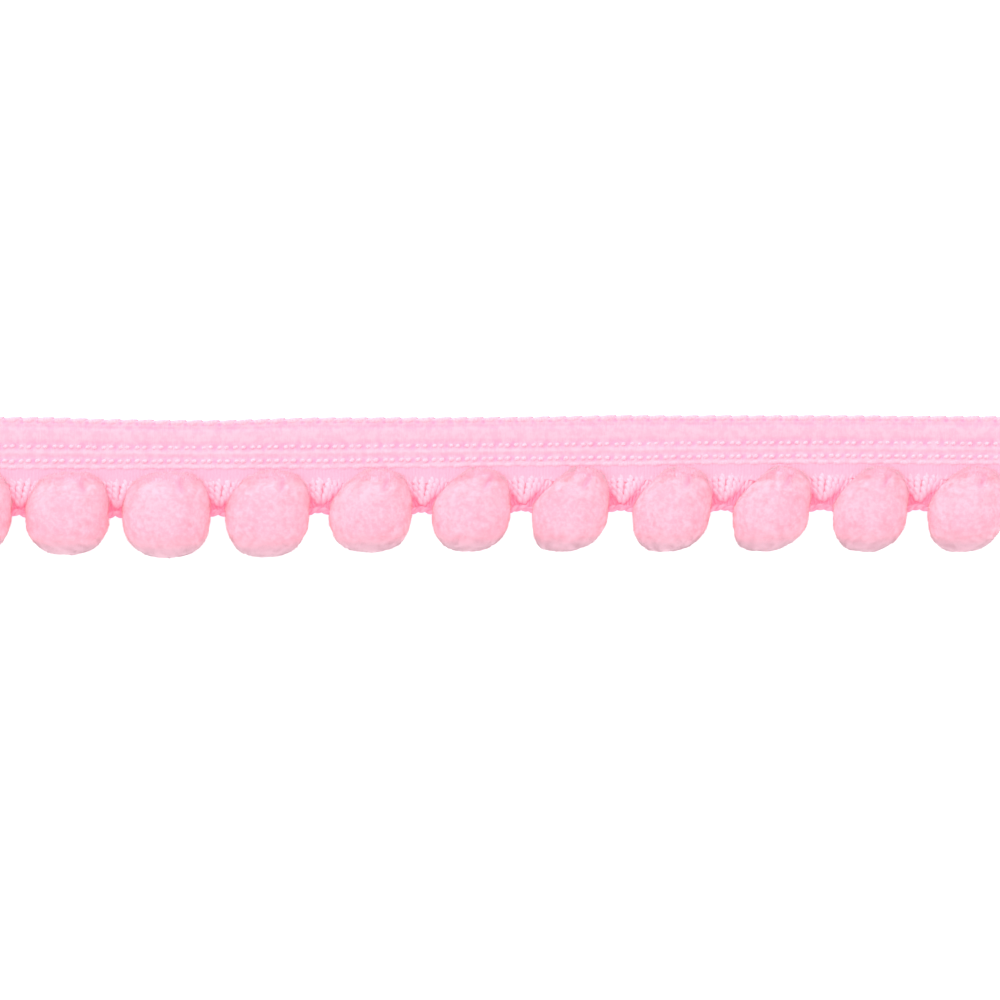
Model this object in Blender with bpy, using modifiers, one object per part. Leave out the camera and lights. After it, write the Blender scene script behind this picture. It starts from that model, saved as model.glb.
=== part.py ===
"""Ball fringe trim: a cut length of knitted heading tape with a row of pompoms bound below it.

The trim lies face up on a table. The tape's top edge is flat on the table, and the cloth rises
from there to the chain that runs through the middle of the pompoms. Three kinds of piece make it:
the heading tape, the foot of yarn loops and chain under it, and the pompoms clasped on the chain.

Working directions, before the whole trim is centred: X runs along the tape from its left cut end,
Y runs across it from the chain towards the top edge, and Z is the height above the table.
"""

import math

import bmesh
import bpy
from mathutils import Vector, noise

MM = 0.001

# The cloth
COURSE = 1.65 * MM  # one knitted stitch, along the tape
COURSES = 66
TAPE_LENGTH = COURSES * COURSE
TOP_EDGE = 9.35 * MM  # from the chain to the tape's top edge
TAPE_WIDTH = 4.9 * MM
TAPE_THICKNESS = 1.0 * MM
FLAT_TOE = 1.4 * MM  # how much of the tape's top edge lies flat on the table
CHAIN_HEIGHT = 3.4 * MM
RISE_BEND = 1.8  # 1 lifts the cloth along a plain parabola, more lifts it sooner
CLEARANCE = 0.3 * MM
MERGE = 0.001 * MM
SMOOTH_ANGLE = math.radians(50)

# The foot of loops under the tape
FOOT_THICKNESS = 1.0 * MM
ROOT_WIDTH = 0.85 * MM
CHAIN_RADIUS = 0.33 * MM
CHAIN_BEAD = 0.1 * MM  # how far a chain stitch swells in a gap
CHAIN_STEPS = 3  # rings to each stitch
STRAND_RADIUS = 0.31 * MM
STRAND_TAPER = 0.12
STRAND_BULGE = 0.05 * MM
STRAND_TURN = math.radians(200)
STRAND_OFFSET = math.radians(25)  # by which neighbouring strands are out of step
STRAND_STEPS = 4
SPREAD_AT_ROOT = 0.95 * MM  # between neighbouring strands
SPREAD_AT_CHAIN = 0.58 * MM
WEB_SHARE = 0.62  # the plain web inside a pompom, as a share of the pompom's width

# The pompoms
POMPOM_SEGMENTS = 18
POMPOM_RINGS = 12
POMPOM_CENTRE_HEIGHT = 3.75 * MM
UNDERSIDE_DEPTH = 3.98 * MM  # flattened where it meets the table
FACE_SHARE = 0.47  # height of the face above the centre, as a share of the width
UPPER_REACH = 4.0 * MM  # from the chain to the pompom's top, just short of the tape
UPPER_SWAY = 0.2 * MM  # how far the top leans to the right of a pompom that hangs straight
SQUARENESS = 2.25  # 2 is an ellipsoid, more is boxier
LUMP_HEIGHT = 0.16 * MM
LUMP_SIZE = 2.3 * MM
LUMP_SHIFT = 7.3  # between one pompom's lumps and the next one's, in the same noise
SLOT_HALF = CLEARANCE + FOOT_THICKNESS / 2
SLOT_LENGTH = 12.0 * MM
LOBE_RADIUS = 1.4 * MM
LOBE_PLACE = Vector((2.65, 2.45, 1.25)) * MM  # from the pompom's centre

PINK_TAPE = (0.99, 0.62, 0.79)
PINK_YARN = (0.97, 0.48, 0.65)
PINK_POMPOM = (0.99, 0.55, 0.72)

# How unevenly the trim lies: how far each line of the cloth strays towards the top edge, in mm,
# at places along it.
LAY = [
    {"along": 0.0, "chain": 0.05, "stitches": 0.0, "edge": 0.0},
    {"along": 18.8, "chain": -0.25, "stitches": 0.0, "edge": 0.0},
    {"along": 28.3, "chain": -0.15, "stitches": 0.0, "edge": -0.3},
    {"along": 39.8, "chain": 0.1, "stitches": 0.0, "edge": 0.0},
    {"along": 49.8, "chain": 0.15, "stitches": 0.1, "edge": 0.0},
    {"along": 59.8, "chain": 0.3, "stitches": 0.2, "edge": 0.15},
    {"along": 89.8, "chain": 0.4, "stitches": 0.2, "edge": 0.2},
    {"along": 108.9, "chain": 0.4, "stitches": 0.2, "edge": 0.15},
]
STITCH_LINE = 5.1 * MM  # from the chain to the lower row of stitches

# The pompoms, in mm: the middle's distance from the left cut end, the width along the tape, how
# far the bottom hangs past the chain, and how far the lowest point leans from the middle.
POMPOMS = [
    {"along": 5.0, "width": 8.4, "drop": 4.15, "lean": -0.1},
    {"along": 14.65, "width": 8.5, "drop": 4.2, "lean": -0.2},
    {"along": 24.5, "width": 8.7, "drop": 4.35, "lean": 0.0},
    {"along": 34.5, "width": 8.3, "drop": 4.4, "lean": -0.4},
    {"along": 44.8, "width": 8.2, "drop": 4.1, "lean": -0.3},
    {"along": 54.9, "width": 7.8, "drop": 4.15, "lean": -0.4},
    {"along": 64.8, "width": 7.6, "drop": 4.25, "lean": -1.1},
    {"along": 74.9, "width": 7.7, "drop": 4.3, "lean": -0.8},
    {"along": 84.85, "width": 7.5, "drop": 4.35, "lean": -1.1},
    {"along": 94.8, "width": 7.4, "drop": 4.35, "lean": -0.6},
    {"along": 104.35, "width": 7.6, "drop": 4.35, "lean": -0.6},
]

# The tape's rows, from the top edge round the face to the lower edge and back under it. place is
# the share of the width from the top edge, lift is in half thicknesses from the cloth's middle,
# and form is what the needles left along the row.
TAPE_ROWS = [
    {"place": 0.0, "lift": 0.0, "form": "selvage side"},
    {"place": 0.07, "lift": 1.05, "form": "selvage"},
    {"place": 0.155, "lift": 0.75, "form": "groove"},
    {"place": 0.31, "lift": 1.05, "form": "plain"},
    {"place": 0.465, "lift": 0.65, "form": "groove"},
    {"place": 0.53, "lift": 0.95, "form": "stitch"},
    {"place": 0.645, "lift": 1.05, "form": "hem"},
    {"place": 0.73, "lift": 0.7, "form": "groove"},
    {"place": 0.8, "lift": 0.95, "form": "stitch"},
    {"place": 0.9, "lift": 1.0, "form": "hem"},
    {"place": 1.0, "lift": 0.1, "form": "hem side"},
    {"place": 0.93, "lift": -1.0, "form": "back"},
    {"place": FLAT_TOE / TAPE_WIDTH, "lift": -1.0, "form": "back"},
    {"place": 0.05, "lift": -1.0, "form": "back"},
]

# Where a course's four columns stand, as shares of the course, and how far each form rises or
# reaches out there, in mm. A stitch is a pair of legs with a hole beside it.
COLUMNS = {"first leg": 0.0, "crossing": 0.2, "second leg": 0.4, "hole": 0.7}
RELIEF = {
    "selvage side": {"first leg": 0.03, "crossing": 0.1, "second leg": 0.05, "hole": -0.09},
    "selvage": {"first leg": 0.0, "crossing": 0.13, "second leg": 0.1, "hole": -0.12},
    "groove": {"first leg": 0.0, "crossing": 0.03, "second leg": 0.0, "hole": -0.05},
    "plain": {"first leg": 0.0, "crossing": 0.0, "second leg": 0.0, "hole": 0.0},
    "stitch": {"first leg": 0.17, "crossing": 0.02, "second leg": 0.17, "hole": -0.2},
    "hem": {"first leg": 0.04, "crossing": 0.06, "second leg": 0.04, "hole": -0.06},
    "hem side": {"first leg": 0.02, "crossing": 0.05, "second leg": 0.02, "hole": -0.04},
    "back": {"first leg": 0.0, "crossing": 0.0, "second leg": 0.0, "hole": 0.0},
}


def clear_scene():
    for obj in list(bpy.data.objects):
        bpy.data.objects.remove(obj)


def new_collection(name):
    collection = bpy.data.collections.new(name)
    bpy.context.scene.collection.children.link(collection)
    return collection


def new_material(name, colour, roughness):
    material = bpy.data.materials.new(name)
    material.use_nodes = True
    shader = material.node_tree.nodes["Principled BSDF"]
    shader.inputs["Base Color"].default_value = (*colour, 1.0)
    shader.inputs["Roughness"].default_value = roughness
    shader.inputs["Metallic"].default_value = 0.0
    return material


def object_from(bm, name, collection, material=None):
    """Ends a bmesh as an object, with its faces pointing out."""
    bmesh.ops.recalc_face_normals(bm, faces=bm.faces)
    mesh = bpy.data.meshes.new(name)
    bm.to_mesh(mesh)
    bm.free()
    if material:
        mesh.materials.append(material)
    obj = bpy.data.objects.new(name, mesh)
    collection.objects.link(obj)
    return obj


def smoothed(mesh):
    mesh.shade_smooth()
    mesh.set_sharp_from_angle(angle=SMOOTH_ANGLE)


def eased(share):
    return share * share * (3 - 2 * share)


def stray(along, line):
    """How far one line of the cloth strays across, at a place along the tape."""
    along = min(max(along / MM, LAY[0]["along"]), LAY[-1]["along"])
    for low, high in zip(LAY, LAY[1:]):
        if along <= high["along"]:
            break
    share = (along - low["along"]) / (high["along"] - low["along"])
    return (low[line] + (high[line] - low[line]) * eased(share)) * MM


def cloth_across(along, across):
    """The place across of a point of the cloth, once the trim is laid as unevenly as it is."""
    if across < STITCH_LINE:
        share = across / STITCH_LINE
        low, high = stray(along, "chain"), stray(along, "stitches")
    else:
        share = (across - STITCH_LINE) / (TOP_EDGE - STITCH_LINE)
        low, high = stray(along, "stitches"), stray(along, "edge")
    return across + low + (high - low) * share


def cloth_height(across):
    """The height of the cloth's middle: flat at the top edge, then rising to the chain."""
    slope_length = TOP_EDGE - FLAT_TOE
    share = max(0.0, (slope_length - across) / slope_length)
    rest = TAPE_THICKNESS / 2
    return rest + (CHAIN_HEIGHT - rest) * share**2 * (RISE_BEND - (RISE_BEND - 1) * share)


def cloth_point(along, across, lift=0.0):
    """A point on the laid cloth, lifted straight up off its middle."""
    return Vector((along, cloth_across(along, across), cloth_height(across) + lift))


def tape_point(course, column, row):
    """A point of the tape's skin, at one column of one course and one of the tape's rows."""
    along = (course + COLUMNS[column]) * COURSE
    relief = RELIEF[row["form"]][column] * MM
    across = TOP_EDGE - row["place"] * TAPE_WIDTH
    lift = row["lift"] * TAPE_THICKNESS / 2
    if row["form"] == "selvage side":
        across += relief
    elif row["form"] == "hem side":
        across -= relief
    else:
        lift += relief
    return cloth_point(along, across, lift)


def make_heading_tape(collection, material):
    """The tape is one closed tube of rows, wrapped from a grid, with a stitch's relief in it."""
    stations = [(course, column) for course in range(COURSES) for column in COLUMNS]
    stations.append((COURSES, "first leg"))
    bm = bmesh.new()
    bmesh.ops.create_grid(bm, x_segments=len(stations) - 1, y_segments=len(TAPE_ROWS), size=1.0)
    bm.verts.ensure_lookup_table()
    for index, vert in enumerate(bm.verts):
        course, column = stations[index % len(stations)]
        row = TAPE_ROWS[(index // len(stations)) % len(TAPE_ROWS)]
        vert.co = tape_point(course, column, row)
    bmesh.ops.remove_doubles(bm, verts=bm.verts, dist=MERGE)
    bmesh.ops.holes_fill(bm, edges=[edge for edge in bm.edges if edge.is_boundary])
    tape = object_from(bm, "heading_tape", collection, material)
    smoothed(tape.data)
    return tape


def gaps_between_pompoms():
    """The open stretches of the foot, as (left, right) along the tape, with the two cut ends."""
    sides = [0.0]
    for row in POMPOMS:
        sides += [row["along"] - row["width"] / 2, row["along"] + row["width"] / 2]
    sides.append(TAPE_LENGTH / MM)
    return [(left * MM, right * MM) for left, right in zip(sides[::2], sides[1::2])]


def make_foot_cloth(collection, material):
    """A comb of thin cloth: the root strip under the tape, with a plain web inside each pompom."""
    root_top = TOP_EDGE - TAPE_WIDTH - CLEARANCE
    lines = [0.0, root_top - ROOT_WIDTH, root_top]
    stations = [0.0]
    for row in POMPOMS:
        half_web = row["width"] * WEB_SHARE / 2
        stations += [(row["along"] - half_web) * MM, (row["along"] + half_web) * MM]
    stations.append(TAPE_LENGTH)
    bm = bmesh.new()
    bmesh.ops.create_grid(bm, x_segments=len(stations) - 1, y_segments=len(lines) - 1, size=1.0)
    bm.verts.ensure_lookup_table()
    for index, vert in enumerate(bm.verts):
        vert.co = cloth_point(stations[index % len(stations)], lines[index // len(stations)])
    bm.faces.ensure_lookup_table()
    in_gaps = [bm.faces[index] for index in range(0, len(stations) - 1, 2)]
    bmesh.ops.delete(bm, geom=in_gaps, context="FACES")
    foot = object_from(bm, "loop_foot", collection, material)
    solidify = foot.modifiers.new("Cloth thickness", "SOLIDIFY")
    solidify.thickness = FOOT_THICKNESS
    solidify.offset = 0.0
    return foot


def tube_mesh(name, points, radii, turns, roundness, collection):
    """A tube along points, as a mesh with its caps welded, so that a Boolean can join it."""
    curve = bpy.data.curves.new(name, "CURVE")
    curve.dimensions = "3D"
    curve.bevel_depth = 1.0
    curve.bevel_resolution = roundness
    curve.use_fill_caps = True
    spline = curve.splines.new("POLY")
    spline.points.add(len(points) - 1)
    for point, place, radius, turn in zip(spline.points, points, radii, turns):
        point.co = (*place, 1.0)
        point.radius = radius
        point.tilt = turn
    guide = bpy.data.objects.new(name, curve)
    collection.objects.link(guide)
    bpy.context.view_layer.update()
    evaluated = guide.evaluated_get(bpy.context.evaluated_depsgraph_get())
    mesh = bpy.data.meshes.new_from_object(evaluated)
    bpy.data.objects.remove(guide)
    bm = bmesh.new()
    bm.from_mesh(mesh)
    bmesh.ops.remove_doubles(bm, verts=bm.verts, dist=MERGE)
    tube = object_from(bm, name, collection)
    tube.hide_render = True
    tube.display_type = "WIRE"
    return tube


def make_chain(helpers):
    """The chain that gathers the loops. Its stitches swell where they show between pompoms."""
    stations = []
    for left, right in gaps_between_pompoms():
        at_end = left == 0.0 or right == TAPE_LENGTH
        stitches = 1 if at_end else 2
        steps = CHAIN_STEPS * stitches
        for step in range(steps + 1):
            share = step / steps
            swell = CHAIN_BEAD * math.sin(math.pi * share * stitches) ** 2
            stations.append((left + (right - left) * share, CHAIN_RADIUS + swell))
    points = [cloth_point(along, 0.0) for along, _ in stations]
    radii = [radius for _, radius in stations]
    return tube_mesh("chain", points, radii, [0.0] * len(points), 1, helpers)


def make_strands(helpers):
    """Twisted yarn loops from the root strip down to the chain, three in each gap."""
    root_middle = TOP_EDGE - TAPE_WIDTH - CLEARANCE - ROOT_WIDTH / 2
    strands = []
    for left, right in gaps_between_pompoms():
        middle = (left + right) / 2
        at_end = left == 0.0 or right == TAPE_LENGTH
        for side in (0,) if at_end else (-1, 0, 1):
            top = middle + side * SPREAD_AT_ROOT
            foot = middle + side * SPREAD_AT_CHAIN
            points, radii, turns = [], [], []
            for step in range(STRAND_STEPS + 1):
                share = step / STRAND_STEPS
                along = top + (foot - top) * share
                bulge = STRAND_BULGE * math.sin(math.pi * share)
                points.append(cloth_point(along, root_middle * (1 - share), bulge))
                radii.append(STRAND_RADIUS * (1 - STRAND_TAPER * share))
                turns.append(STRAND_TURN * share + STRAND_OFFSET * side)
            name = f"strand_{len(strands):02d}"
            strands.append(tube_mesh(name, points, radii, turns, 0, helpers))
    return strands


def join_to_foot(foot, pieces):
    for piece in pieces:
        union = foot.modifiers.new(f"Join {piece.name}", "BOOLEAN")
        union.operation = "UNION"
        union.object = piece


def boxier(value, power):
    return math.copysign(abs(value) ** (2 / power), value)


def pompom_point(direction, row, index):
    """Where a point of the unit sphere goes on this pompom, from the pompom's middle."""
    rounded = Vector([boxier(value, SQUARENESS) for value in direction])
    half_width = row["width"] / 2 * MM
    below, above = row["drop"] * MM, UPPER_REACH
    depth = FACE_SHARE * row["width"] * MM if rounded.z > 0 else UNDERSIDE_DEPTH
    reach = above if rounded.y > 0 else below
    place = Vector((rounded.x * half_width, rounded.y * reach, rounded.z * depth))
    if rounded.y < 0:
        place.x += row["lean"] * MM * rounded.y**2
    else:
        place.x += (UPPER_SWAY - row["lean"] * MM) * rounded.y
    spot = place / LUMP_SIZE + Vector((LUMP_SHIFT * index, 0.0, 0.0))
    return place + direction * LUMP_HEIGHT * noise.noise(spot)


def clearance_slot(name, along, collection):
    """The slot in a pompom that its foot cloth and chain pass through, with room all round."""
    root = TOP_EDGE - TAPE_WIDTH - CLEARANCE
    low, high = cloth_point(along, 0.0), cloth_point(along, root)
    rise = (high - low).normalized()
    start, end = low - rise * (CLEARANCE + CHAIN_RADIUS + CHAIN_BEAD), low + rise * SLOT_LENGTH
    bm = bmesh.new()
    bmesh.ops.create_cube(bm, size=1.0)
    size = Vector((SLOT_LENGTH, (end - start).length, 2 * SLOT_HALF))
    bmesh.ops.scale(bm, vec=size, verts=bm.verts)
    slot = object_from(bm, name, collection)
    slot.location = (start + end) / 2
    slot.rotation_euler = (math.atan2(rise.z, rise.y), 0.0, 0.0)
    slot.hide_render = True
    slot.display_type = "WIRE"
    return slot


def make_lobe(name, middle, row, collection):
    """The small second lobe at the pompom's upper right, where the binding splits the pile."""
    bm = bmesh.new()
    bmesh.ops.create_icosphere(bm, subdivisions=2, radius=LOBE_RADIUS)
    scale = row["width"] / POMPOMS[0]["width"]
    lobe = object_from(bm, name, collection)
    lobe.location = middle + LOBE_PLACE * scale
    lobe.hide_render = True
    lobe.display_type = "WIRE"
    return lobe


def make_pompom(index, row, collection, helpers, material):
    """A ball of cut pile, leaning and lumpy, flat underneath and slotted for the foot."""
    along = row["along"] * MM
    middle = Vector((along, cloth_across(along, 0.0), POMPOM_CENTRE_HEIGHT))
    bm = bmesh.new()
    bmesh.ops.create_uvsphere(
        bm, u_segments=POMPOM_SEGMENTS, v_segments=POMPOM_RINGS, radius=1.0
    )
    for vert in bm.verts:
        chainwise = Vector((vert.co.z, vert.co.x, vert.co.y))
        vert.co = pompom_point(chainwise, row, index)
        vert.co.z = max(vert.co.z, -POMPOM_CENTRE_HEIGHT)
    pompom = object_from(bm, f"pompom_{index:02d}", collection, material)
    pompom.location = middle
    smoothed(pompom.data)
    lobe = pompom.modifiers.new("Second lobe", "BOOLEAN")
    lobe.operation = "UNION"
    lobe.object = make_lobe(f"lobe_{index:02d}", middle, row, helpers)
    slot = pompom.modifiers.new("Slot for the foot", "BOOLEAN")
    slot.operation = "DIFFERENCE"
    slot.object = clearance_slot(f"slot_{index:02d}", along, helpers)
    return pompom


def centre_on_origin(pieces, helpers):
    """Moves the trim so that the middle of its underside is the origin."""
    bpy.context.view_layer.update()
    graph = bpy.context.evaluated_depsgraph_get()
    corners = [
        piece.evaluated_get(graph).matrix_world @ Vector(corner)
        for piece in pieces
        for corner in piece.evaluated_get(graph).bound_box
    ]
    low = Vector([min(corner[axis] for corner in corners) for axis in range(3)])
    high = Vector([max(corner[axis] for corner in corners) for axis in range(3)])
    trim = bpy.data.objects.new("trim_origin", None)
    bpy.context.scene.collection.objects.link(trim)
    for piece in pieces + list(helpers.objects):
        piece.parent = trim
    trim.location = (-(low.x + high.x) / 2, -(low.y + high.y) / 2, -low.z)


def main():
    clear_scene()
    trim = new_collection("Ball fringe trim")
    helpers = new_collection("Cutters and guides")
    tape_cloth = new_material("tape_cloth", PINK_TAPE, 0.75)
    loop_yarn = new_material("loop_yarn", PINK_YARN, 0.7)
    pompom_pile = new_material("pompom_pile", PINK_POMPOM, 0.95)

    pieces = [make_heading_tape(trim, tape_cloth)]
    foot = make_foot_cloth(trim, loop_yarn)
    join_to_foot(foot, [make_chain(helpers), *make_strands(helpers)])
    pieces.append(foot)
    for index, row in enumerate(POMPOMS):
        pieces.append(make_pompom(index, row, trim, helpers, pompom_pile))
    centre_on_origin(pieces, helpers)


main()
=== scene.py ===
import math

import bpy
import numpy as np
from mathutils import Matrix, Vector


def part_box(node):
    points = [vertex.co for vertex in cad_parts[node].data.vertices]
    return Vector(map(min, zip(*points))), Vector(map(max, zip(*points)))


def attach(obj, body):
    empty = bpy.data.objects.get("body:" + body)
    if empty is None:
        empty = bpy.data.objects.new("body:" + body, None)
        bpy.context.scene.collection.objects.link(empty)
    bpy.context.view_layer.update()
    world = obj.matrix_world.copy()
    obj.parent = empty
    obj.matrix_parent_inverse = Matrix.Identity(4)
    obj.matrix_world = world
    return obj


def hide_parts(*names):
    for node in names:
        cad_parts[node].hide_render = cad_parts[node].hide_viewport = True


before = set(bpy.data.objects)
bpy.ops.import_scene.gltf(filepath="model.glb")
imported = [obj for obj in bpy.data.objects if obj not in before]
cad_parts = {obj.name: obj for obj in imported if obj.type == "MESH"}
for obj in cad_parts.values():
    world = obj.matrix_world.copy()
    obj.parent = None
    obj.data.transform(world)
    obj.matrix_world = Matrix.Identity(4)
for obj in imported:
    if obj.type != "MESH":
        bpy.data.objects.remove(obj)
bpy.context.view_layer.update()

# Heading tape.
# The real piece is a narrow knitted polyester tape, made with the whole trim on a crochet machine:
# a plain band of weft yarns, a raised ridge and a rolled hem. It is what gets sewn to the work.
MM = 0.001
COURSE = 1.65 * MM  # one knitted stitch, along the tape
COURSES = 66
LEFT_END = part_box("heading_tape")[0].x
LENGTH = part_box("heading_tape")[1].x - LEFT_END
CHAIN_LINE = -2.59 * MM  # where across the trim the chain runs
TOP_EDGE = 9.35 * MM  # from the chain to the tape's top edge
TAPE_WIDTH = 4.9 * MM
TAPE_THICKNESS = 1.0 * MM
FLAT_TOE = 1.4 * MM  # how much of the tape's top edge lies flat on the table
CHAIN_HEIGHT = 3.4 * MM
RISE_BEND = 1.8
STITCH_LINE = 5.1 * MM  # from the chain to the lower row of stitches

# How far each line of the cloth strays towards the top edge, in mm, at places along it.
LAY = [
    {"along": 0.0, "chain": 0.05, "stitches": -0.36, "edge": 0.1},
    {"along": 12.8, "chain": -0.15, "stitches": -0.37, "edge": 0.02},
    {"along": 18.8, "chain": -0.25, "stitches": -0.38, "edge": -0.17},
    {"along": 28.3, "chain": -0.15, "stitches": -0.38, "edge": -0.3},
    {"along": 39.8, "chain": 0.1, "stitches": -0.36, "edge": 0.0},
    {"along": 49.8, "chain": 0.15, "stitches": -0.25, "edge": 0.0},
    {"along": 59.8, "chain": 0.3, "stitches": -0.11, "edge": 0.06},
    {"along": 69.8, "chain": 0.33, "stitches": -0.05, "edge": 0.22},
    {"along": 79.8, "chain": 0.37, "stitches": 0.1, "edge": 0.2},
    {"along": 89.8, "chain": 0.4, "stitches": 0.16, "edge": 0.2},
    {"along": 108.9, "chain": 0.4, "stitches": 0.05, "edge": 0.12},
]

# The tape's section: how far its face stands off a flat one, in mm, at hundredths of the width.
TAPE_SECTION = [
    {"place": 0, "rise": -0.06, "form": "bed of the edge lobes"},
    {"place": 12, "rise": -0.01, "form": "bed of the edge lobes"},
    {"place": 17, "rise": -0.07, "form": "groove"},
    {"place": 23, "rise": 0.02, "form": "plain band"},
    {"place": 30, "rise": 0.05, "form": "plain band"},
    {"place": 41, "rise": 0.03, "form": "plain band"},
    {"place": 49, "rise": -0.08, "form": "groove"},
    {"place": 54, "rise": -0.04, "form": "bed of the upper stitches"},
    {"place": 60, "rise": -0.01, "form": "foot of the ridge"},
    {"place": 66, "rise": 0.1, "form": "ridge"},
    {"place": 71, "rise": 0.0, "form": "foot of the ridge"},
    {"place": 75, "rise": -0.06, "form": "groove"},
    {"place": 81, "rise": 0.0, "form": "bed of the lower stitches"},
    {"place": 87, "rise": 0.04, "form": "groove"},
    {"place": 93, "rise": 0.06, "form": "hem"},
    {"place": 100, "rise": 0.0, "form": "hem"},
]
UPPER_STITCHES, LOWER_STITCHES = 0.54, 0.81  # the two rows, as shares of the width

# The small holes in each course: beside its two stitches, and under the turn of the edge yarn.
HOLES = [
    {"phase": 0.78, "place": UPPER_STITCHES, "depth": 0.1, "reach": 0.13, "height": 0.05},
    {"phase": 0.78, "place": LOWER_STITCHES, "depth": 0.07, "reach": 0.13, "height": 0.05},
    {"phase": 0.05, "place": 0.085, "depth": 0.15, "reach": 0.13, "height": 0.03},
]


def stray(along, line):
    """How far one line of the cloth strays across, at places along the tape."""
    places = np.array([row["along"] for row in LAY]) * MM
    strays = np.array([row[line] for row in LAY]) * MM
    index = np.clip(np.searchsorted(places, along, side="right") - 1, 0, len(LAY) - 2)
    share = np.clip((along - places[index]) / (places[index + 1] - places[index]), 0, 1)
    return strays[index] + (strays[index + 1] - strays[index]) * share**2 * (3 - 2 * share)


def cloth(along, across, lift):
    """Points on the laid cloth: across is from the chain to the top edge, lift is off its middle."""
    along, across, lift = np.broadcast_arrays(along, across, lift)
    upper = across > STITCH_LINE
    share = np.where(upper, (across - STITCH_LINE) / (TOP_EDGE - STITCH_LINE), across / STITCH_LINE)
    low = np.where(upper, stray(along, "stitches"), stray(along, "chain"))
    high = np.where(upper, stray(along, "edge"), stray(along, "stitches"))
    slope = np.clip(1 - across / (TOP_EDGE - FLAT_TOE), 0, None)
    rest = TAPE_THICKNESS / 2
    height = rest + (CHAIN_HEIGHT - rest) * slope**2 * (RISE_BEND - (RISE_BEND - 1) * slope)
    return np.stack([LEFT_END + along, CHAIN_LINE + across + low + (high - low) * share, height + lift], -1)


def bell(distance, reach):
    return np.exp(-((distance / reach) ** 2))


def mesh_piece(name, points, faces, material, slot, replaces=(), **marks):
    """Makes one piece from arrays of points and faces, with a number at each point for each mark."""
    mesh = bpy.data.meshes.new(name)
    mesh.from_pydata(np.reshape(points, (-1, 3)).tolist(), [], faces)
    for mark, numbers in marks.items():
        layer = mesh.attributes.new(mark, "FLOAT", "POINT")
        layer.data.foreach_set("value", np.ravel(numbers).astype(np.float32))
    mesh.materials.append(material)
    mesh.shade_smooth()
    piece = bpy.data.objects.new(name, mesh)
    bpy.context.scene.collection.objects.link(piece)
    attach(piece, "root")
    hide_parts(*replaces)
    return piece


def sleeve_faces(rings, sides, first=0):
    """The faces of a closed sleeve of rings, with a cap at each end, as it stands in a list of points."""
    faces = []
    for ring in range(rings - 1):
        for side in range(sides):
            near, far = first + ring * sides, first + (ring + 1) * sides
            after = (side + 1) % sides
            faces.append((near + side, near + after, far + after, far + side))
    faces.append(tuple(first + side for side in reversed(range(sides))))
    faces.append(tuple(first + (rings - 1) * sides + side for side in range(sides)))
    return faces


class Number:
    """One number in a material. Sums and products of these add their Math nodes."""

    def __init__(self, look, socket):
        self.look = look
        self.socket = socket

    def math(self, operation, first, second):
        return self.look.node("ShaderNodeMath", {"operation": operation}, {0: first, 1: second})

    def __add__(self, other):
        return self.math("ADD", self, other)

    def __mul__(self, other):
        return self.math("MULTIPLY", self, other)

    __radd__ = __add__
    __rmul__ = __mul__


class Look:
    """A material in the making, with one Principled shader."""

    def __init__(self, name, plain, **constant):
        self.material = bpy.data.materials.new(name)
        self.material.use_nodes = True
        self.tree = self.material.node_tree
        self.shader = self.tree.nodes["Principled BSDF"]
        self.shader.inputs["Base Color"].default_value = (*plain, 1)
        for socket, value in constant.items():
            self.shader.inputs[socket.replace("_", " ")].default_value = value

    def node(self, kind, settings, values, output=0):
        """Adds any node: its settings first, then the values or links of its sockets."""
        node = self.tree.nodes.new(kind)
        for setting, value in settings.items():
            setattr(node, setting, value)
        for socket, value in values.items():
            if isinstance(value, Number):
                self.tree.links.new(value.socket, node.inputs[socket])
            else:
                node.inputs[socket].default_value = value
        return Number(self, node.outputs[output])

    def place(self):
        return self.node("ShaderNodeTexCoord", {}, {}, "Object")

    def mark(self, name):
        return self.node("ShaderNodeAttribute", {"attribute_name": name}, {}, "Fac")

    def stretched(self, scale):
        """The piece's own place, with each axis scaled."""
        return self.node("ShaderNodeVectorMath", {"operation": "MULTIPLY"}, {0: self.place(), 1: scale})

    def noise(self, where, detail=2.0, roughness=0.5):
        values = {"Vector": where, "Scale": 1.0, "Detail": detail, "Roughness": roughness}
        return self.node("ShaderNodeTexNoise", {}, values, "Fac")

    def band(self, value, low, high, to_low=0.0, to_high=1.0):
        """A number eased from one range to another, and held at its ends."""
        settings = {"interpolation_type": "SMOOTHSTEP"}
        values = {"Value": value, "From Min": low, "From Max": high, "To Min": to_low, "To Max": to_high}
        return self.node("ShaderNodeMapRange", settings, values)

    def mixed(self, share, first, second):
        values = {0: share}
        for socket, colour in ((6, first), (7, second)):
            values[socket] = colour if isinstance(colour, Number) else (*colour, 1)
        return self.node("ShaderNodeMix", {"data_type": "RGBA"}, values, 2)

    def wear(self, socket, value):
        self.tree.links.new(value.socket, self.shader.inputs[socket])

    def raised(self, height, depth, strength=1.0):
        values = {"Strength": strength, "Distance": depth, "Height": height}
        self.wear("Normal", self.node("ShaderNodeBump", {}, values))


def shade(red, green, blue):
    """A colour as seen, from 0 to 255, as the light that a material sends back."""
    seen = np.array([red, green, blue]) / 255
    return tuple(np.where(seen > 0.04045, ((seen + 0.055) / 1.055) ** 2.4, seen / 12.92).tolist())


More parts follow.
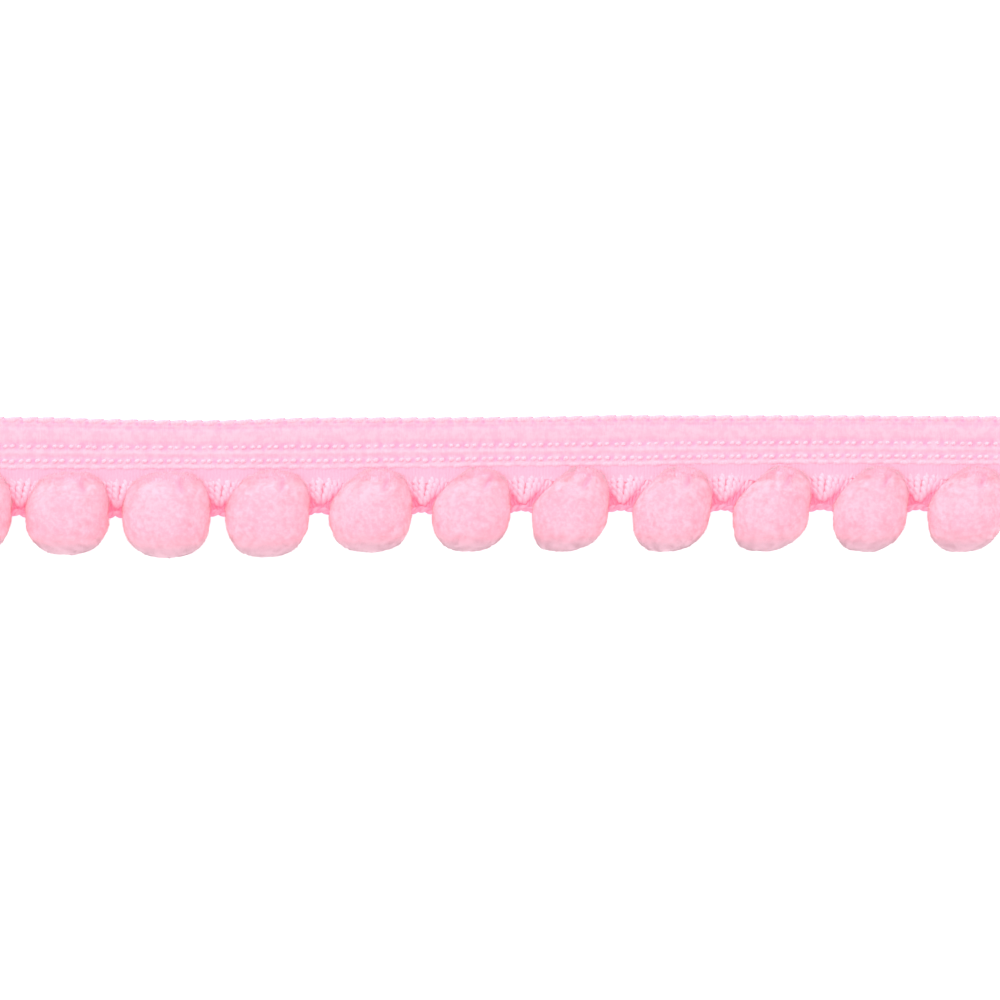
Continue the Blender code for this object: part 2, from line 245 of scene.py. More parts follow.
def tape_look():
    """Pale pink weft yarns across the tape, their crowns paler, with painted shade: the grooves between them
    and the holes are painted pinker.
    """
    look = Look("tape_cloth", shade(252, 171, 190), Roughness=0.7, Sheen_Weight=0.05, Sheen_Roughness=0.4)
    grain = look.noise(look.stretched((9000, 900, 900)), 3.0, 0.6)
    fuzz = look.noise(look.stretched((3000, 2200, 2200)), 2.0, 0.6)
    knit = look.noise(look.stretched((1300, 1500, 1500)), 2.0, 0.5)
    height = look.band(look.mark("rise"), -0.1, 0.08)
    pale = look.band(grain * 0.25 + fuzz * 0.3 + knit * 0.45, 0.4, 0.6)
    # Painted shade: the cloth is painted a little darker and pinker where its face lies low, in the grooves.
    cloth_tone = look.mixed(height, shade(252, 171, 200), shade(252, 177, 198))
    mottled = look.mixed(pale * 0.8, cloth_tone, shade(252, 193, 210))
    # Painted shade: the holes beside the stitches and under the edge yarn are painted a strong pink.
    look.wear("Base Color", look.mixed(look.mark("hole") * 0.6, mottled, shade(253, 152, 196)))
    look.raised(grain * 0.6 + fuzz * 0.4, 0.00006, 0.6)
    return look.material


STATIONS_A_COURSE = 12
FACE_ROWS = 50
BACK_ROWS = 9
EDGE_ROUNDING = 0.06  # as a share of the width
HEM_PLACE, HEM_REACH = 0.92, 0.08
HEM_SWELL = 0.018 * MM
COURSE_SWELL = 0.012 * MM
HOLE_SLANT = 1.2  # in courses over the whole width


def make_ground():
    """The tape's cloth: its section run along the courses, with each course's holes pressed in."""
    stations = np.arange(COURSES * STATIONS_A_COURSE + 1) / STATIONS_A_COURSE
    face = np.linspace(0, 1, FACE_ROWS)
    back = np.linspace(1, 0, BACK_ROWS + 2)[1:-1]
    place = np.concatenate([face, back])
    is_face = np.arange(len(place)) < FACE_ROWS
    course, place = np.meshgrid(stations, place, indexing="ij")
    from_edge = np.clip(np.minimum(place, 1 - place) / EDGE_ROUNDING, 0, 1)
    rounded = np.sqrt(1 - (1 - from_edge) ** 2)
    places, rises = zip(*((row["place"], row["rise"]) for row in TAPE_SECTION))
    section = np.interp(place * 100, places, rises)
    phase = course % 1
    swell = np.cos(2 * math.pi * (phase - 0.2))
    rise = section * MM + HEM_SWELL * swell * bell(place - HEM_PLACE, HEM_REACH) + COURSE_SWELL * swell
    holes = np.zeros_like(rise)
    for row in HOLES:
        slant = HOLE_SLANT * (place - row["place"])
        past_hole = (phase + slant - row["phase"] + 0.5) % 1 - 0.5
        hole = bell(past_hole, row["reach"]) * bell(place - row["place"], row["height"])
        rise -= row["depth"] * MM * hole
        holes += hole
    thickness = np.where(is_face, TAPE_THICKNESS / 2 + rise, -TAPE_THICKNESS / 2)
    points = cloth(course * COURSE, TOP_EDGE - place * TAPE_WIDTH, thickness * rounded)
    faces = sleeve_faces(len(stations), len(back) + FACE_ROWS)
    # The hole mark says where the tape's face is painted with shade.
    marks = {"rise": rise / MM, "hole": holes * is_face}
    return mesh_piece("tape_ground", points, faces, tape_look(), "tape_cloth", ["heading_tape"], **marks)


ground = make_ground()


# Edges and stitches of the tape.
# The weft yarn turns back at each edge in slanted lobes, like a rope. Two rows of chain stitches lock
# the wefts: each stitch shows as a pair of short bright arches, with a hole beside it.
STITCH_LEGS = (0.0, 0.43)  # in courses
STITCH_SEAT = 0.12 * MM  # how deep a stitch's yarn beds in the tape's face
ARCH_RINGS, ARCH_SIDES = 6, 7
LOBE_RINGS, LOBE_SIDES = 12, 9
rng = np.random.default_rng(4)


def sleeves(lines, radii, sides, squash=1.0):
    """Round yarns along many lines at once. lines is yarns by steps by xyz, radii the same but for xyz."""
    ahead = np.gradient(lines, axis=1)
    ahead /= np.linalg.norm(ahead, axis=-1, keepdims=True)
    side = np.cross(ahead, (0.0, 0.0, 1.0))
    side /= np.maximum(np.linalg.norm(side, axis=-1, keepdims=True), 1e-9)
    over = np.cross(side, ahead)
    turn = np.linspace(0, 2 * math.pi, sides, endpoint=False)
    spread = side[:, :, None] * np.cos(turn)[:, None] + over[:, :, None] * np.sin(turn)[:, None] * squash
    points = lines[:, :, None] + spread * radii[:, :, None, None]
    faces = []
    for yarn in range(len(lines)):
        faces += sleeve_faces(lines.shape[1], sides, yarn * lines.shape[1] * sides)
    return points, faces


def yarn_look(name, plain, crown, hollow):
    """A twisted filament yarn: fine filaments, paler where they crown, and painted shade, a strong pink,
    where a lobe dives under the next.
    """
    look = Look(name, plain, Roughness=0.7, Sheen_Weight=0.05, Sheen_Roughness=0.35)
    filaments = look.noise(look.stretched((6000, 3500, 3500)), 2.0, 0.6)
    tone = look.mixed(look.band(filaments, 0.35, 0.65), hollow, crown)
    # Painted shade: where a lobe dives under the next, its yarn is painted a strong pink.
    look.wear("Base Color", look.mixed(look.mark("seam"), tone, shade(254, 131, 167)))
    look.raised(filaments, 0.00004, 0.7)
    return look.material


def make_overcast(name, low, high, reach, radius, lift, seam_depth, look):
    """One slanted, rounded lobe of yarn in each course, which dives under the next. Sizes in mm."""
    low, high = TOP_EDGE + low * MM, TOP_EDGE + high * MM
    reach, radius, lift = reach * MM, radius * MM, lift * MM
    share = np.linspace(-1, 1, LOBE_RINGS)
    lines, radii = [], []
    for course in range(COURSES):
        shift, swell = rng.normal(0, 0.025, 2)
        along = (course + 0.5 + shift) * COURSE + reach * share
        along = np.clip(along, 0.7 * radius, LENGTH - 0.7 * radius)
        across = low + (high - low) * (share + 1) / 2
        lines.append(cloth(along, across, lift * (1 - 1.1 * share**2)))
        radii.append(radius * (1 + swell) * np.sqrt(1 - 0.5 * share**2))
    points, faces = sleeves(np.array(lines), np.array(radii), LOBE_SIDES)
    # How strongly each lobe's ends are painted with shade, where they dive under the next.
    seam = np.repeat(seam_depth * share**6, LOBE_SIDES)
    seam = np.broadcast_to(seam, (COURSES, LOBE_RINGS * LOBE_SIDES))
    return mesh_piece(name, points, faces, look, "tape_cloth", seam=seam)


def make_stitches(name, row, reach, radius, height, fading):
    """Two small arches of yarn in each course, along one row. Sizes in mm."""
    reach, radius, height, fading = reach * MM, radius * MM, height * MM, fading * MM
    lines, radii = [], []
    for course in range(COURSES):
        for phase in STITCH_LEGS:
            share = np.linspace(-1, 1, ARCH_RINGS)
            wobble = rng.normal(0, 0.02, 3)
            sunk = fading * max(0.0, math.sin((course - 11) / 2.4) + 0.4 * math.sin(course / 1.3))
            along = (course + phase + 0.06 + wobble[0]) * COURSE + reach * share
            across = TOP_EDGE - (row + 0.2 * wobble[1]) * TAPE_WIDTH + 0.3 * reach * share
            arch = TAPE_THICKNESS / 2 - STITCH_SEAT - sunk + height * (1 + wobble[2]) * (1 - share**2)
            lines.append(cloth(along, across, arch))
            radii.append(radius * np.sqrt(1 - 0.75 * share**2))
    points, faces = sleeves(np.array(lines), np.array(radii), ARCH_SIDES)
    return mesh_piece(name, points, faces, stitch_yarn, "tape_cloth")


edge_yarn = yarn_look("edge_yarn", shade(252, 188, 205), shade(252, 197, 211), shade(252, 180, 200))
hem_yarn = yarn_look("hem_yarn", shade(252, 190, 209), shade(252, 197, 214), shade(252, 182, 203))
stitch_yarn = yarn_look("stitch_yarn", shade(252, 201, 217), shade(253, 208, 223), shade(252, 193, 211))
edge_lobes = make_overcast("tape_edge_lobes", -0.31, -0.13, 0.84, 0.33, 0.26, 1.0, edge_yarn)
hem_lobes = make_overcast("tape_hem_lobes", -4.72, -4.58, 0.98, 0.36, 0.28, 0.0, hem_yarn)
upper_stitches = make_stitches("tape_stitches_upper", UPPER_STITCHES, 0.2, 0.21, 0.1, 0.09)
lower_stitches = make_stitches("tape_stitches_lower", LOWER_STITCHES, 0.21, 0.24, 0.12, 0.0)


# Foot of the trim.
# Below the tape the same yarns go on as a dense pink root, then as twisted loops in each gap between pompoms,
# and end in the chain that gathers them. It is the trim's own yarn, not a separate braid. Where it lies in
# shade, in the root under the hem, low in each gap and along the chain, the shade is painted as a stronger
# pink.
POMPOMS = [
    {"along": 5.0, "width": 8.4, "drop": 4.25, "lean": -0.1, "shoulder": 2.4, "cleft": (1.2, 1.8)},
    {"along": 14.65, "width": 8.5, "drop": 4.2, "lean": 0.0, "shoulder": 2.4, "cleft": (1.2, 1.8)},
    {"along": 24.5, "width": 9.0, "drop": 4.5, "lean": 0.15, "shoulder": 2.5, "cleft": (1.15, 1.75)},
    {"along": 34.6, "width": 8.5, "drop": 4.65, "lean": -0.25, "shoulder": 2.0, "cleft": (1.6, 1.5)},
    {"along": 44.85, "width": 8.4, "drop": 4.3, "lean": -0.1, "shoulder": 1.6, "cleft": (1.9, 1.45)},
    {"along": 54.9, "width": 8.0, "drop": 4.3, "lean": -0.3, "shoulder": 1.5, "cleft": (2.2, 1.4)},
    {"along": 64.8, "width": 7.75, "drop": 4.4, "lean": -1.0, "shoulder": 1.35, "cleft": (2.1, 1.4)},
    {"along": 74.9, "width": 7.9, "drop": 4.45, "lean": -0.75, "shoulder": 1.5, "cleft": (1.9, 1.4)},
    {"along": 84.85, "width": 7.8, "drop": 4.45, "lean": -1.05, "shoulder": 1.35, "cleft": (2.1, 1.35)},
    {"along": 94.7, "width": 7.6, "drop": 4.5, "lean": -0.55, "shoulder": 1.45, "cleft": (2.0, 1.35)},
    {"along": 104.25, "width": 7.8, "drop": 4.5, "lean": -0.55, "shoulder": 1.5, "cleft": (2.0, 1.35)},
]
CENTRE_HEIGHT = 3.75 * MM
UNDERSIDE_DEPTH = 3.98 * MM
FACE_SHARE = 0.47
UPPER_REACH = 4.0 * MM
UPPER_SWAY = 0.2 * MM  # how far the top shifts along the trim
LEAN_SWAY = 0.4  # and how much less, as a share of the lean
MOST_FULL = 1.6
SQUARENESS = 2.25
LOWER_SQUARENESS = 2.45  # the same for the outline below the chain
RIGHT_SHOULDER = 2.8  # and to the right above it, where the pile spreads into the root
TOP_BOW = 1.6 * MM  # how far the top bows down to the tape
ROOT_TOP = TOP_EDGE - TAPE_WIDTH + 0.35 * MM
ROOT_BOTTOM = 2.85 * MM
ROOT_RIB = 0.33 * MM
ROOT_LIFT = 0.42 * MM  # how far the root stands off the middle of the cloth
ROOT_OVER = 0.1  # how far it lies over the pile at its top, in mm
ROOT_DIVE = 1.3  # and how far it has sunk from there at its foot
LOOPS_A_GAP = 3
LOOP_STEPS = 46
LOOP_PLY = {"ply_radius": 0.27 * MM, "offset": 0.13 * MM, "pitch": 1.35 * MM, "sides": 6}
BACKS_A_GAP, BACKS_AT_END = 13, 4
BACK_STEPS = 13
BACK_PLY = {"ply_radius": 0.19 * MM, "offset": 0.12 * MM, "pitch": 1.6 * MM, "sides": 5}
CHAIN_PLY = {"ply_radius": 0.22 * MM, "offset": 0.13 * MM, "pitch": 1.6 * MM, "sides": 7}
DRAWN_UP = 0.22 * MM  # how far the loops draw the chain up in the middle of a gap
END_MARGIN = 0.5 * MM


def gaps():
    """Where each gap between pompoms starts and stops, along the trim."""
    sides = [0.0]
    for row in POMPOMS:
        sides += [row["along"] - row["width"] / 2, row["along"] + row["width"] / 2]
    sides.append(LENGTH / MM)
    return [(low * MM, high * MM) for low, high in zip(sides[::2], sides[1::2])]


def fullness(row, off_chain, is_above, is_right):
    """How much wider a pompom's outline is than a plain rounded one, at shares of its reach."""
    squareness = np.where(is_above, np.where(is_right, RIGHT_SHOULDER, row["shoulder"]), LOWER_SQUARENESS)
    off_chain = np.minimum(off_chain, 0.995)
    fuller = (1 - off_chain**squareness) ** (1 / squareness) / (1 - off_chain**SQUARENESS) ** (1 / SQUARENESS)
    return np.minimum(fuller, MOST_FULL)


def pompom_tops(points):
    """How high the pile stands above the table at points of the cloth, and 0 where there is none."""
    height = np.zeros(points.shape[:-1])
    for row in POMPOMS:
        middle = cloth(row["along"] * MM, 0.0, 0.0)
        up = (points[..., 1] - middle[1]) / UPPER_REACH
        inside = np.clip(up, 0, 1)
        aside = points[..., 0] - middle[0] - (UPPER_SWAY - LEAN_SWAY * row["lean"] * MM) * inside
        aside = np.abs(aside) / (row["width"] / 2 * MM * fullness(row, inside, True, aside > 0))
        left_over = np.clip(1 - aside**SQUARENESS - inside**SQUARENESS, 0, 1)
        top = FACE_SHARE * row["width"] * MM * left_over ** (1 / SQUARENESS) - TOP_BOW * inside**2
        top += CENTRE_HEIGHT
        height = np.where((left_over > 0) & (up < 1), np.maximum(height, top), height)
    return height


def foot_look():
    """Pink yarn that is palest where it crowns, with painted shade, a strong pink, in the hollows, and a
    painted glow.
    """
    look = Look("loop_yarn", shade(252, 158, 180), Roughness=0.85, Specular_IOR_Level=0.2)
    # Painted glow: the foot yarn glows pink, standing in for light that passes through the yarn.
    look.shader.inputs["Emission Strength"].default_value = 1.0
    filaments = look.noise(look.stretched((4000, 3000, 3000)), 2.0, 0.6)
    deep = look.mark("deep")
    fresh = look.mixed(look.band(filaments, 0.35, 0.65), shade(253, 189, 205), shade(253, 200, 214))
    # Painted shade: the yarn is painted a strong pink where it lies in shade.
    look.wear("Base Color", look.mixed(deep, fresh, shade(254, 154, 178)))
    # The painted glow is pinker and stronger where the painted shade is.
    look.wear("Emission Color", look.mixed(deep, (0.12, 0.07, 0.09), (0.2, 0.04, 0.08)))
    look.raised(filaments, 0.00003, 0.4)
    return look.material


def twisted(lines, deep, ply_radius, offset, pitch, sides):
    """Two plies wound round each line, as one set of sleeves, with the painted shade at each point."""
    step = np.linalg.norm(np.diff(lines, axis=1, prepend=lines[:, :1]), axis=-1)
    turn = 2 * math.pi * np.cumsum(step, axis=1) / pitch
    ahead = np.gradient(lines, axis=1)
    ahead /= np.linalg.norm(ahead, axis=-1, keepdims=True)
    side = np.cross(ahead, (0.0, 0.0, 1.0))
    side /= np.maximum(np.linalg.norm(side, axis=-1, keepdims=True), 1e-9)
    over = np.cross(side, ahead)
    plies = []
    for ply in range(2):
        angle = (turn + math.pi * ply)[..., None]
        plies.append(lines + offset * (side * np.cos(angle) + over * np.sin(angle)))
    both = np.concatenate(plies)
    points, faces = sleeves(both, np.full(both.shape[:2], ply_radius), sides)
    depth = np.repeat(np.concatenate([deep, deep])[..., None], sides, axis=2)
    return points, faces, depth


def joined(parts):
    """Several sets of points, faces and depths as one."""
    points, faces, deep, count = [], [], [], 0
    for part_points, part_faces, part_deep in parts:
        part_points = np.reshape(part_points, (-1, 3))
        points.append(part_points)
        deep.append(np.ravel(part_deep))
        faces += [tuple(corner + count for corner in face) for face in part_faces]
        count += len(part_points)
    return np.concatenate(points), faces, np.concatenate(deep)


def root_band():
    """The dense root: it leaves the tape's hem, lies over the pompoms' tops and sinks into their pile."""
    stations = np.linspace(0, LENGTH, int(LENGTH / ROOT_RIB) * 4)
    face = np.linspace(0, 1, 15)
    back = np.linspace(1, 0, 4)[1:-1]
    place = np.concatenate([face, back])
    is_face = np.arange(len(place)) < len(face)
    along, place = np.meshgrid(stations, place, indexing="ij")
    rib = np.abs(np.cos(math.pi * (along / ROOT_RIB + 0.35 * np.sin(along / (3.1 * MM)))))
    ragged = (0.12 * np.sin(along / (0.7 * MM)) + 0.1 * np.sin(along / (0.23 * MM)) + 0.06 * rib) * MM
    across = ROOT_TOP + (ROOT_BOTTOM + ragged - ROOT_TOP) * place
    lift = ROOT_LIFT + 0.1 * MM * np.sin(math.pi * place) + 0.05 * MM * rib
    laid = cloth(along, across, 0.0)
    tops = pompom_tops(laid)
    tops = (tops + np.roll(tops, 2, 0) + np.roll(tops, -2, 0)) / 3
    over = np.where(tops > 0, tops + (ROOT_OVER - ROOT_DIVE * place**2) * MM + 0.03 * MM * rib, 0)
    laid[..., 2] = np.maximum(laid[..., 2] + lift, over)
    under = cloth(along, across, -0.3 * MM * np.sqrt(1 - (2 * place - 1) ** 8))
    points = np.where(is_face[:, None], laid, under)
    # Painted shade: the root is painted a strong pink, most near the tape's hem above it and between its
    # ribs.
    deep = 0.68 + 0.1 * (1 - rib) - 0.3 * place**2
    return points, sleeve_faces(len(stations), len(face) + len(back)), deep


def loop_lines():
    """The U-shaped loops that hang in front of each gap, one behind the other."""
    lines, deep = [], []
    share = np.linspace(-1, 1, LOOP_STEPS)
    hang = np.abs(share)
    for low, high in gaps():
        at_end = low == 0.0 or high > LENGTH - 1e-6
        middle = (low + high) / 2 + (0.0 if at_end else 0.1 * MM + 0.45 * MM * hang)
        for nest in range(1 if at_end else LOOPS_A_GAP):
            bottom = (0.75 + 0.35 * nest + rng.uniform(-0.1, 0.15)) * MM
            half = (0.3 + 0.4 * nest + rng.uniform(-0.03, 0.03)) * MM
            spread = (0.1 + 0.4 * nest + rng.uniform(0.0, 0.2)) * MM
            turn = np.minimum(hang * 2.2, 1)
            along = middle + np.sign(share) * (half * np.sqrt(1 - (1 - turn) ** 2) + spread * hang**1.5)
            across = bottom + (3.6 * MM - bottom) * (0.25 * hang + 0.75 * hang**1.5)
            lift = -0.25 * MM + (0.75 - 0.12 * nest) * MM * np.sin(math.pi * (0.02 + 0.93 * hang)) ** 0.5
            along = np.clip(along, END_MARGIN, LENGTH - END_MARGIN)
            lines.append(cloth(along, across, lift))
            # Painted shade: each loop is painted deeper pink at the bottom of its U, and more on the loops
            # further back.
            deep.append(0.08 + 0.45 * bell(hang, 0.12) + 0.2 * bell(hang, 0.4) + 0.15 * nest)
    return np.array(lines), np.clip(np.array(deep), 0, 1)


def back_lines():
    """The strands behind, which run on down to the chain."""
    lines, deep = [], []
    share = np.linspace(0, 1, BACK_STEPS)
    for low, high in gaps():
        at_end = low == 0.0 or high > LENGTH - 1e-6
        half = (high - low) / 2
        count = BACKS_AT_END if at_end else BACKS_A_GAP
        for strand in range(count):
            side = 2 * strand / (count - 1) - 1
            top = (low + high) / 2 + side * half + (0.0 if at_end else (1.9 * side + 0.8) * MM)
            foot = (low + high) / 2 + side * (half + 0.15 * MM)
            along = np.clip(top + (foot - top) * share**0.8, 0.3 * MM, LENGTH - 0.3 * MM)
            across = 3.4 * MM * (1 - share) + 0.05 * MM
            lift = 0.2 * MM - 0.4 * MM * share + 0.08 * MM * (strand % 2)
            lines.append(cloth(along, across, lift))
            # Painted shade: each strand is painted deeper pink down towards the chain, from higher up on the
            # outer strands, and a little paler again just above the chain.
            pale_until = 0.62 - 0.3 * abs(side) ** 1.5
            paler_foot = 0.3 * np.clip(share - 0.88, 0, 1) / 0.12
            deep.append(0.1 + np.clip((share - pale_until) / 0.22, 0, 0.9) - paler_foot)
    return np.array(lines), np.clip(np.array(deep), 0, 1)


def chain_line():
    """The chain at the foot, painted with the strong pink of shade, a little deeper at one end of each of its
    stitches.
    """
    along = np.linspace(0.1 * MM, LENGTH - 0.1 * MM, int(LENGTH / (0.1 * MM)))
    drawn_up = np.zeros_like(along)
    for low, high in gaps():
        past = np.abs(along - (low + high) / 2) / ((high - low) / 2)
        drawn_up = np.maximum(drawn_up, DRAWN_UP * np.clip(1 - past**2, 0, 1))
    line = cloth(along, drawn_up - 0.14 * MM, 0.1 * MM)
    return line[None], 0.8 + 0.2 * np.sin(2 * math.pi * along / (0.9 * MM))[None]


def make_foot():
    """Root, loops, strands and chain, as the one run of yarn that they are."""
    loops, loop_shade = loop_lines()
    backs, back_shade = back_lines()
    chain, chain_shade = chain_line()
    parts = [
        root_band(),
        twisted(loops, loop_shade, **LOOP_PLY),
        twisted(backs, back_shade, **BACK_PLY),
        twisted(chain, chain_shade, **CHAIN_PLY),
    ]
    points, faces, deep = joined(parts)
    return mesh_piece("foot_loops", points, faces, foot_look(), "loop_yarn", ["loop_foot"], deep=deep)


foot = make_foot()


# Pompoms.
# Each is a short bundle of soft cut yarn, clasped on the chain and fluffed into a ball of velvety
# pile. The clasp splits the pile at the upper right, so a second small lobe stands there.
LOBE_PLACE = (2.75, 2.4)  # in mm from the middle, seen from the face
LOBE_REACH = 1.15
LOBE_RISE = 0.3 * MM
CLEFT_TOP, CLEFT_FOOT = 3.6, 2.1  # in mm above the middle
CLEFT_REACH = 0.3  # in mm too
CLEFT_DEPTH = 0.4 * MM
FIBRES = 13000
FIBRE_ROOT = 0.9  # where a fibre starts, as a share of the way to the pompom's skin
FIBRE_WIDTH = 0.055 * MM
CORE_SHARE = 0.965
LUMP_SIZE, LUMP_RISE = 2.3 * MM, 0.06 * MM
TUFT_SIZE = 0.55 * MM
COMB_SIZE, COMB_REACH = 1.3 * MM, 0.05 * MM  # the pile lies this way and that, in patches
TIP_SCATTER = 0.02 * MM
TABLE_GAP = 0.02 * MM


def smooth_noise(points, seed):
    """Soft lumps from -1 to 1 at points, made of a few waves that run in random directions."""
    waves = np.random.default_rng(seed)
    total = np.zeros(points.shape[:-1])
    for _ in range(9):
        way = waves.normal(size=3)
        way *= waves.uniform(0.7, 1.5) / np.linalg.norm(way)
        total += np.sin(points @ way * 2 * math.pi + waves.uniform(0, 2 * math.pi))
    return total / 4


def pompom_skin(ways, row, index):
    """Where the pile ends in each direction from the pompom's middle, and how deep in the cleft."""
    rounded = np.sign(ways) * np.abs(ways) ** (2 / SQUARENESS)
    rounded[:, 0] *= fullness(row, np.abs(rounded[:, 1]), rounded[:, 1] > 0, rounded[:, 0] > 0)
    reach_y = np.where(rounded[:, 1] > 0, UPPER_REACH, row["drop"] * MM)
    reach_z = np.where(rounded[:, 2] > 0, FACE_SHARE * row["width"] * MM, UNDERSIDE_DEPTH)
    x = rounded[:, 0] * row["width"] / 2 * MM
    lean, sway = row["lean"] * MM, UPPER_SWAY - LEAN_SWAY * row["lean"] * MM
    x = x + np.where(rounded[:, 1] < 0, lean * rounded[:, 1] ** 2, sway * rounded[:, 1])
    z = rounded[:, 2] * reach_z - TOP_BOW * np.clip(rounded[:, 1], 0, None) ** 2
    across, up, facing = x / MM, rounded[:, 1] * reach_y / MM, np.clip(z / MM + 0.5, 0, 1)
    lobe = bell(np.hypot(across - LOBE_PLACE[0], up - LOBE_PLACE[1]), LOBE_REACH)
    down = (CLEFT_TOP - up) / (CLEFT_TOP - CLEFT_FOOT)
    line = row["cleft"][0] + (row["cleft"][1] - row["cleft"][0]) * np.clip(down, 0, 1)
    fade = np.clip(3 - 2.5 * down, 0, 1) * np.clip(1.5 + 2.5 * down, 0, 1)
    furrow = facing * bell(across - line, CLEFT_REACH) * fade
    z += facing * LOBE_RISE * lobe - CLEFT_DEPTH * furrow
    places = np.stack([x, rounded[:, 1] * reach_y, z], -1)
    reach = np.linalg.norm(places, axis=-1)
    towards = places / reach[:, None]
    reach += LUMP_RISE * smooth_noise(towards * 4 * MM / LUMP_SIZE, 100 + index)
    return towards * reach[:, None], furrow


def pile_look():
    """Velvety cut pile: mottled tips over pinker roots, with painted shade low down and in the cleft, painted
    light by the tape and along the upper rims, and a painted glow that is strongest at the roots.
    """
    look = Look("pompom_pile", shade(252, 178, 195), Roughness=1.0, Specular_IOR_Level=0.05, Sheen_Weight=0.4)
    # Painted glow: the pile glows pink, standing in for light that passes through it.
    look.shader.inputs["Emission Strength"].default_value = 1.0
    mottle = look.noise(look.stretched((2400, 2400, 2400)), 4.0, 0.65)
    patch = look.noise(look.stretched((330, 330, 330)), 1.0, 0.5)
    pale = look.band(mottle * 0.75 + patch * 0.25, 0.4, 0.6)
    tone = look.mixed(pale, shade(253, 169, 186), shade(253, 192, 205))
    # Painted shade: the cleft is painted a strong pink.
    cleft = look.mixed(look.mark("cleft"), tone, shade(254, 146, 176))
    rise = look.band(look.mark("tip"), 0.0, 0.8)
    depth = look.mixed(rise, shade(254, 178, 202), cleft)
    # Painted shade: the pile's underside is painted a dusky grey-pink.
    shaded = look.mixed(look.mark("underside_shade"), depth, shade(200, 168, 181))
    # Painted light: near the tape and along the upper rims the pile is painted paler, in place of the shade
    # there.
    look.wear("Base Color", look.mixed(look.mark("painted_light_by_tape") * 0.9, shaded, shade(253, 191, 216)))
    # The painted glow is strongest at the fibres' roots.
    look.wear("Emission Color", look.mixed(rise, (0.32, 0.065, 0.125), (0.05, 0.0, 0.0)))
    return look.material


def fine_ball():
    """Even directions all round, and the triangles between them."""
    bpy.ops.object.select_all(action="DESELECT")
    bpy.ops.mesh.primitive_ico_sphere_add(subdivisions=5, radius=1.0)
    ball = bpy.context.object
    ways = np.array([vert.co for vert in ball.data.vertices])
    faces = [tuple(face.vertices) for face in ball.data.polygons]
    bpy.data.objects.remove(ball)
    return ways / np.linalg.norm(ways, axis=-1, keepdims=True), faces


def make_pompom(index, row, core_ways, core_faces, look):
    """One pompom: a core just under its skin, and thousands of short spikes of pile all over it."""
    name = f"pompom_{index:02d}"
    along = np.array(row["along"] * MM)
    middle = cloth(along, np.array(0.0), np.array(0.0))
    middle[2] = CENTRE_HEIGHT
    core_points, core_furrow = pompom_skin(core_ways, row, index)
    core_points *= CORE_SHARE
    count = np.arange(FIBRES) + 0.5
    z = 1 - 2 * count / FIBRES
    turn = math.pi * (1 + math.sqrt(5)) * count
    ring = np.sqrt(1 - z**2)
    spread = np.random.default_rng(200 + index)
    ways = np.stack([z, ring * np.cos(turn), ring * np.sin(turn)], -1) + spread.normal(0, 0.006, (FIBRES, 3))
    ways /= np.linalg.norm(ways, axis=-1, keepdims=True)
    skin, furrow = pompom_skin(ways, row, index)
    tufts = smooth_noise(skin / TUFT_SIZE, 300 + index)
    flare = np.clip((skin[:, 1] / MM - 2.6) / 1.2, 0, 1) * spread.uniform(0, 0.1, FIBRES)
    tips = skin * (1 + 0.006 * tufts + spread.uniform(-0.018, 0.012, FIBRES) + flare)[:, None]
    combed = [smooth_noise(skin / COMB_SIZE, 400 + 3 * index + axis) for axis in range(3)]
    tips += COMB_REACH * np.stack(combed, -1) + spread.normal(0, TIP_SCATTER, (FIBRES, 3))
    roots = skin * FIBRE_ROOT
    ahead = tips - roots
    ahead /= np.linalg.norm(ahead, axis=-1, keepdims=True)
    side = np.cross(ahead, (0.31, 0.52, 0.79))
    side /= np.linalg.norm(side, axis=-1, keepdims=True)
    over = np.cross(ahead, side)
    angles = spread.uniform(0, 2 * math.pi, FIBRES)
    corners = []
    for corner in range(3):
        angle = (angles + corner * 2 * math.pi / 3)[:, None]
        corners.append(roots + FIBRE_WIDTH * (side * np.cos(angle) + over * np.sin(angle)))
    fibre_points = np.stack([*corners, tips], 1)
    first = len(core_points) + 4 * np.arange(FIBRES)[:, None]
    spikes = [first + np.array([[0, 1, 3]]), first + np.array([[1, 2, 3]]), first + np.array([[2, 0, 3]])]
    spikes.append(first + np.array([[0, 2, 1]]))
    faces = core_faces + [tuple(face) for face in np.concatenate(spikes).tolist()]
    points = np.concatenate([core_points, fibre_points.reshape(-1, 3)])
    points[:, 2] = np.maximum(points[:, 2], TABLE_GAP - CENTRE_HEIGHT)
    tip = np.concatenate([np.full(len(core_points), 0.5), np.tile([0.0, 0.0, 0.0, 1.0], FIBRES)])
    cleft = np.concatenate([core_furrow, np.repeat(furrow, 4)])
    up, high = points[:, 1] / MM, points[:, 2] + TOP_BOW * np.clip(points[:, 1] / UPPER_REACH, 0, None) ** 2
    # The upper rims and the top near the tape, where the pile is painted paler.
    rim = np.clip(1 - high / (0.55 * FACE_SHARE * row["width"] * MM), 0, 1)
    painted_light_by_tape = np.maximum(np.clip((up - 2.9) / 0.9, 0, 1), 0.9 * rim * np.clip((up - 0.6) / 1.2, 0, 1))
    # Where the pile's underside is painted with shade, more towards the bottom.
    underside_shade = np.clip(-points[:, 1] / (row["drop"] * MM) * 2.2 - 0.95, 0, 0.85)
    marks = {"tip": tip, "cleft": cleft, "painted_light_by_tape": painted_light_by_tape, "underside_shade": underside_shade}
    return mesh_piece(f"{name}_pile", points + middle, faces, look, "pompom_pile", [name], **marks)


pile = pile_look()
ball_ways, ball_faces = fine_ball()
for index, row in enumerate(POMPOMS):
    make_pompom(index, row, ball_ways, ball_faces, pile)


# Table, light and camera.
# A plain near-white table under soft light from all round, a little stronger from the left and from
# the tape's side, and a long lens straight above, framed as the photograph is.
VIEW_CENTRE = (3.35 * MM, -1.43 * MM)
VIEW_WIDTH = 100 * MM
VIEW_HEIGHT = 1200 * MM

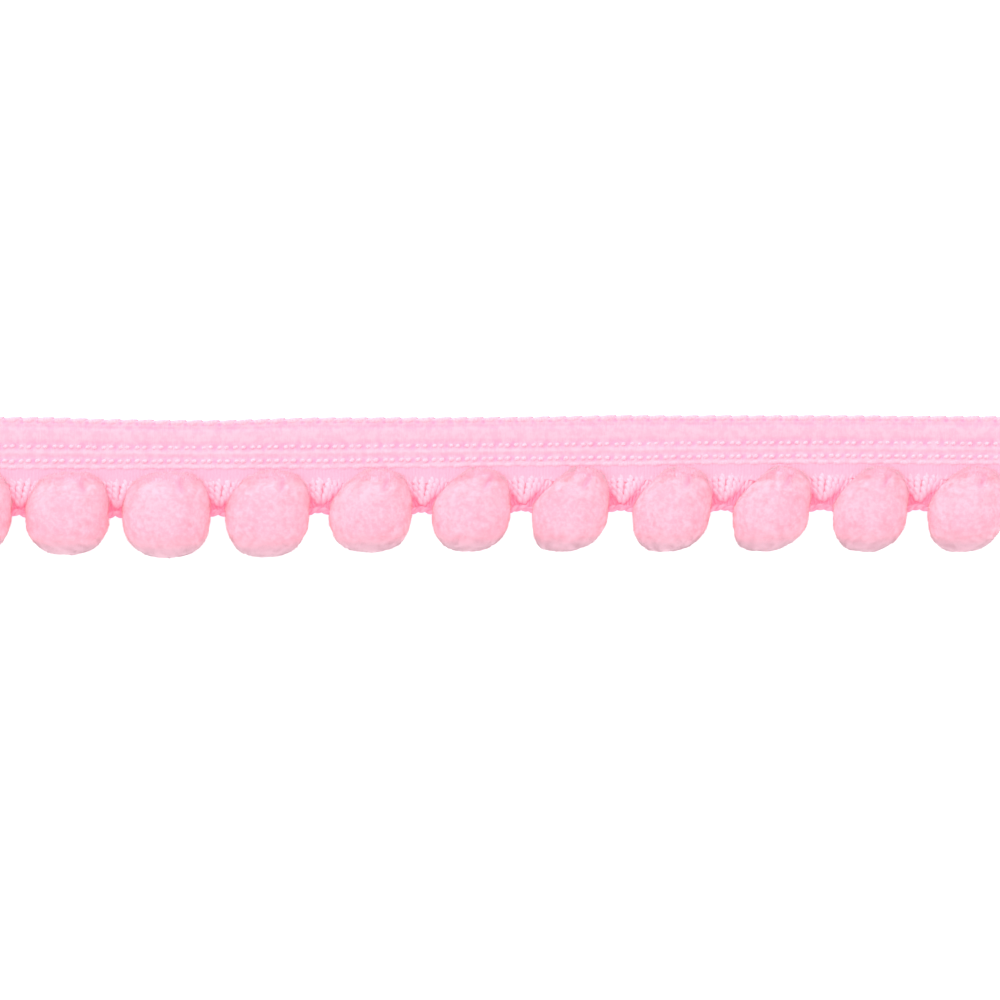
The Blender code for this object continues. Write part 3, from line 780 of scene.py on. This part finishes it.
bpy.ops.object.select_all(action="DESELECT")
bpy.ops.mesh.primitive_plane_add(size=3.0, location=(0, 0, -0.00005))
table = bpy.context.object
table.name = "table_top"
table_look = Look("table_white", (0.8, 0.8, 0.8), Roughness=0.9, Emission_Strength=0.6)
table_look.shader.inputs["Emission Color"].default_value = (1, 1, 1, 1)
tone = table_look.noise(table_look.stretched((12, 12, 12)))
table_look.wear("Base Color", table_look.mixed(tone, (0.79, 0.79, 0.79), (0.81, 0.81, 0.81)))
table.data.materials.append(table_look.material)

world = bpy.data.worlds.new("studio")
bpy.context.scene.world = world
world.use_nodes = True
sky = world.node_tree.nodes.new("ShaderNodeTexCoord")
way = world.node_tree.nodes.new("ShaderNodeSeparateXYZ")
height = world.node_tree.nodes.new("ShaderNodeMath")
height.operation = "MULTIPLY_ADD"
height.inputs[1].default_value = -0.12  # so that the sky is brighter towards +Y, the tape's side
glow = world.node_tree.nodes.new("ShaderNodeMapRange")
glow.inputs["From Min"].default_value = -0.3
glow.inputs["From Max"].default_value = 1.0
glow.inputs["To Min"].default_value = 2.0
glow.inputs["To Max"].default_value = 0.97
world.node_tree.links.new(sky.outputs["Generated"], way.inputs[0])
world.node_tree.links.new(way.outputs["Y"], height.inputs[0])
world.node_tree.links.new(way.outputs["Z"], height.inputs[2])
world.node_tree.links.new(height.outputs[0], glow.inputs["Value"])
world.node_tree.links.new(glow.outputs["Result"], world.node_tree.nodes["Background"].inputs["Strength"])
world.node_tree.nodes["Background"].inputs["Color"].default_value = (1, 1, 1, 1)

bpy.ops.object.light_add(type="AREA", location=(-0.58, 0.15, 0.63))
key = bpy.context.object
key.rotation_euler = (-key.location).to_track_quat("-Z", "Y").to_euler()
key.data.shape = "DISK"
key.data.size = 0.6
key.data.energy = 1.1

bpy.ops.object.camera_add(location=(*VIEW_CENTRE, VIEW_HEIGHT), rotation=(0, 0, 0))
camera = bpy.context.object
camera.data.sensor_width = 36
camera.data.lens = 36 * VIEW_HEIGHT / VIEW_WIDTH
camera.data.clip_end = 20
bpy.context.scene.camera = camera
bpy.context.scene.view_settings.view_transform = "Standard"
